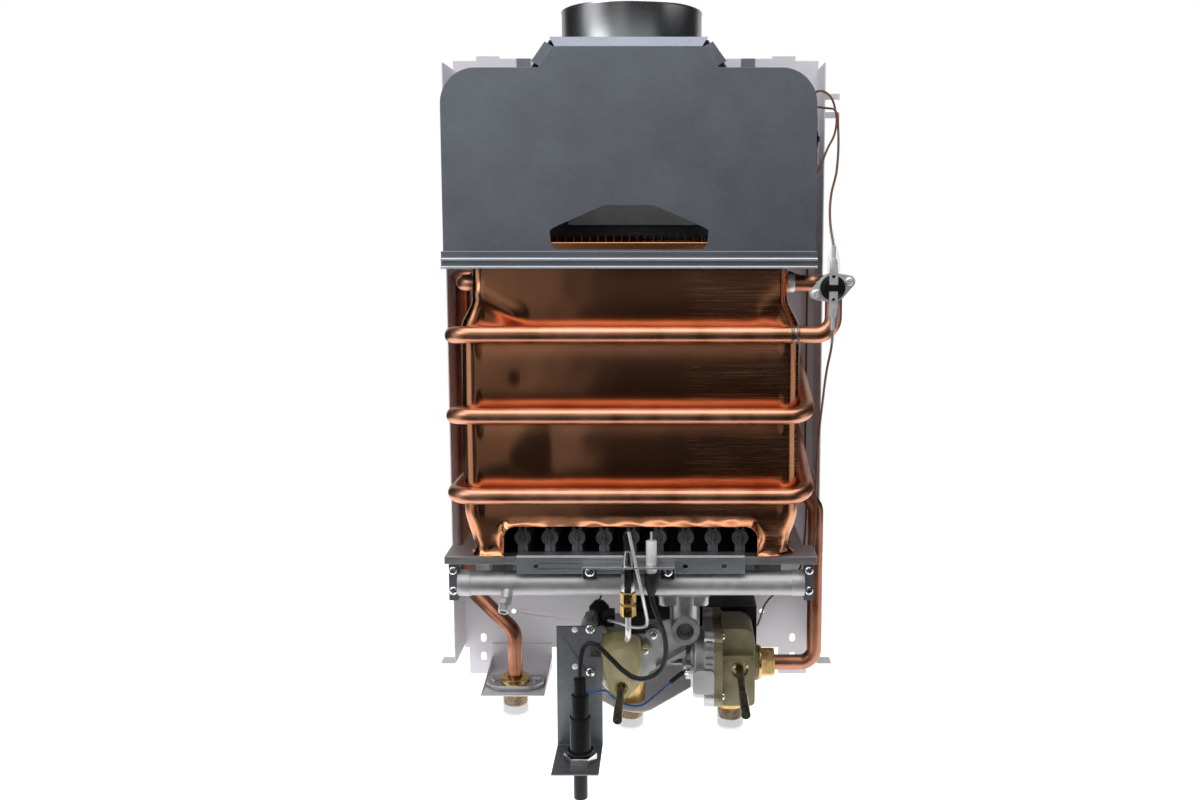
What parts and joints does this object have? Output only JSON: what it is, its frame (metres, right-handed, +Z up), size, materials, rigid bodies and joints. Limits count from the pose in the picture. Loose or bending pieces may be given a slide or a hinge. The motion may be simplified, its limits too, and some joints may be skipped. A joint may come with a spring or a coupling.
{
  "type": "tankless gas water heater",
  "caption": "Wall-hung tankless gas water heater without its cover: hood and flue collar over a copper jacket with a wound water coil, burner, pilot, igniter and water and gas valve.",
  "frame": {"origin": "midway between the two hanging holes, on the wall plate's back face", "axes": "X to the right seen from the front, -Y to the front, +Y into the wall, +Z up"},
  "size_m": [0.34, 0.19, 0.619],
  "materials": {
    "white_paint": "smooth baked paint",
    "galvanised": "dull galvanised sheet",
    "bright_steel": "bright galvanised sheet",
    "copper": "bright copper, drawn tube and brushed sheet",
    "dark_copper": "copper dulled by heat",
    "burner_steel": "dull stainless sheet",
    "alloy": "as die-cast",
    "brass": "machined",
    "olive_plastic": "half-clear moulded olive plastic",
    "black_plastic": "moulded",
    "black_rubber": "moulded",
    "clear_plastic": "clear moulded plastic",
    "white_ceramic": "glazed",
    "zinc": "zinc plated",
    "steel_shaft": "plated steel",
    "brown_wire": "wire covering",
    "blue_wire": "wire covering",
    "black_lead": "silicone lead"
  },
  "bodies": {
    "heater": {"wall_plate": "white_paint", "hot_bracket": "white_paint", "gas_bracket": "white_paint", "hood_hangers": "galvanised", "hood_shell": "galvanised", "hood_front": "galvanised", "draught_baffle": "galvanised", "flue_collar": "bright_steel", "copper_jacket": "copper", "fins": "dark_copper", "finned_tubes": "dark_copper", "return_bends": "copper", "coil_tube": "copper", "feed_tube": "copper", "riser_tube": "copper", "hot_tube": "copper", "thermostat_plates": "zinc", "thermostat_bodies": "black_plastic", "terminal_sleeves": "clear_plastic", "burner_tray": "burner_steel", "burner_blades": "burner_steel", "front_bracket": "galvanised", "gas_manifold": "alloy", "jets": "brass", "end_brackets": "burner_steel", "test_nipple": "zinc", "pilot_bracket": "zinc", "pilot_burner": "zinc", "pilot_nuts": "brass", "pilot_tube": "zinc", "thermocouple": "zinc", "electrode_ceramic": "white_ceramic", "electrode_pin": "zinc", "electrode_boot": "black_rubber", "igniter_bracket": "galvanised", "igniter_body": "black_plastic", "igniter_nut": "zinc", "gas_valve": "alloy", "gas_valve_cap": "olive_plastic", "magnet_cap": "black_rubber", "micro_switch": "black_plastic", "diaphragm_cover": "alloy", "water_valve": "olive_plastic", "water_bush": "brass", "inlet_nut": "brass", "cold_inlet": "brass", "hot_outlet": "brass", "gas_inlet": "brass", "ignition_lead": "black_lead", "thermostat_wires": "brown_wire", "earth_wire": "blue_wire", "pan_screws": "zinc"},
    "gas_spindle": {"gas_spindle": "brass"},
    "gas_shaft": {"gas_shaft": "steel_shaft"},
    "water_shaft": {"water_shaft": "steel_shaft"},
    "igniter_button": {"igniter_button": "black_plastic"},
    "push_rod": {"push_rod": "steel_shaft"},
    "hot_cap": {"hot_cap": "clear_plastic"},
    "cold_cap": {"cold_cap": "clear_plastic"},
    "gas_cap": {"gas_cap": "clear_plastic"}
  },
  "joints": [
    {"name": "gas_shaft_push", "type": "slide", "parent": "heater", "child": "gas_spindle", "axis": [0, 1, 0], "range_m": [0, 0.006], "stiffness_N_per_m": 600},
    {"name": "gas_shaft_turn", "type": "hinge", "parent": "gas_spindle", "child": "gas_shaft", "pos_m": [-0.009, -0.15, -0.491], "axis": [0, 1, 0], "range_deg": [0, 180]},
    {"name": "water_shaft_turn", "type": "hinge", "parent": "heater", "child": "water_shaft", "pos_m": [0.087, -0.15, -0.487], "axis": [0, 1, 0], "range_deg": [0, 270]},
    {"name": "igniter_button_press", "type": "slide", "parent": "heater", "child": "igniter_button", "axis": [0, 0, 1], "range_m": [0, 0.007], "stiffness_N_per_m": 800},
    {"name": "push_rod_stroke", "type": "slide", "parent": "heater", "child": "push_rod", "axis": [-1, 0, 0], "range_m": [0, 0.004], "stiffness_N_per_m": 500},
    {"name": "hot_cap_pull", "type": "slide", "parent": "heater", "child": "hot_cap", "axis": [0, 0, -1], "range_m": [0, 0.03]},
    {"name": "cold_cap_pull", "type": "slide", "parent": "heater", "child": "cold_cap", "axis": [0, 0, -1], "range_m": [0, 0.03]},
    {"name": "gas_cap_pull", "type": "slide", "parent": "heater", "child": "gas_cap", "axis": [0, 0, -1], "range_m": [0, 0.03]}
  ]
}
